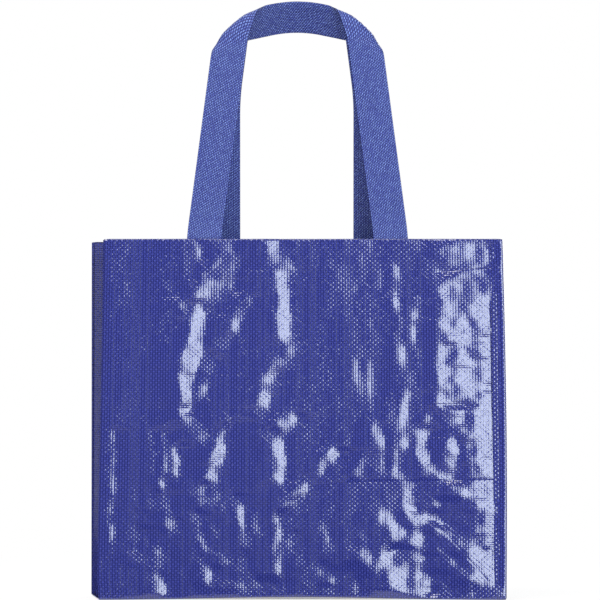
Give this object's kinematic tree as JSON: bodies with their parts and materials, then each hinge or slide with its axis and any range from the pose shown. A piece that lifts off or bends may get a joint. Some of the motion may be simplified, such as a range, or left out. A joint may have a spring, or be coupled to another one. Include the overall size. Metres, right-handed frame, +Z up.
{
  "type": "shopping bag",
  "caption": "Gusseted carrier bag of laminated woven polypropylene, standing partly open, with webbing handles sewn inside the hemmed mouth.",
  "frame": {"origin": "middle of the base, on the surface the bag stands on", "axes": "+Z up through the mouth, +X to the right along the wide panels, the front panel faces -Y"},
  "size_m": [0.463, 0.1328, 0.6725],
  "materials": {
    "laminate": "blue tape-woven polypropylene under a clear glossy film",
    "webbing": "blue woven polypropylene webbing"
  },
  "bodies": {
    "root": {"body_panel": "laminate", "left_gusset": "laminate", "right_gusset": "laminate", "front_handle": "webbing", "back_handle": "webbing"}
  },
  "joints": []
}
